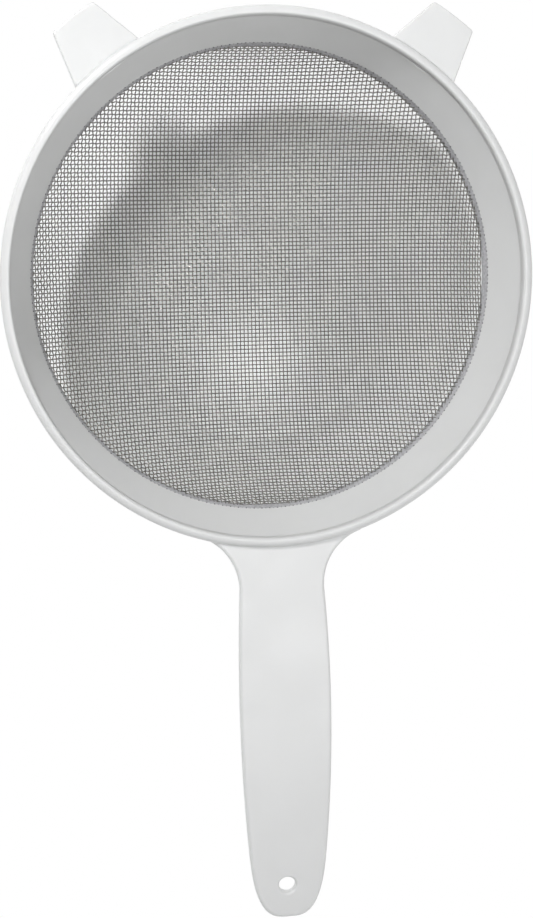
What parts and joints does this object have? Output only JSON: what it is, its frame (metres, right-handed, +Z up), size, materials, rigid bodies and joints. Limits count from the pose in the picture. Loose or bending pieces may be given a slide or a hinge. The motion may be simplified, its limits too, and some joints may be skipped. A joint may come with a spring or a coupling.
{
  "type": "strainer",
  "caption": "Round moulded hand strainer with a deep wire-cloth bowl, a flat handle with a hanging hole and rest ears for a pail's rim.",
  "frame": {"origin": "on the bowl's axis, at the flat crown under the wire cloth, the lowest point of the strainer", "axes": "+Z up out of the bowl, square to the rim; +Y towards the two rest ears, so the handle points to -Y; +X to the right seen from above with the handle towards the viewer"},
  "size_m": [0.206, 0.3522, 0.0555],
  "materials": {
    "white_plastic": "smooth white moulded polypropylene, soft sheen",
    "stainless_wire": "plain-weave stainless steel wire cloth, mid grey"
  },
  "bodies": {
    "root": {"frame": "white_plastic", "wire_cloth": "stainless_wire"}
  },
  "joints": []
}
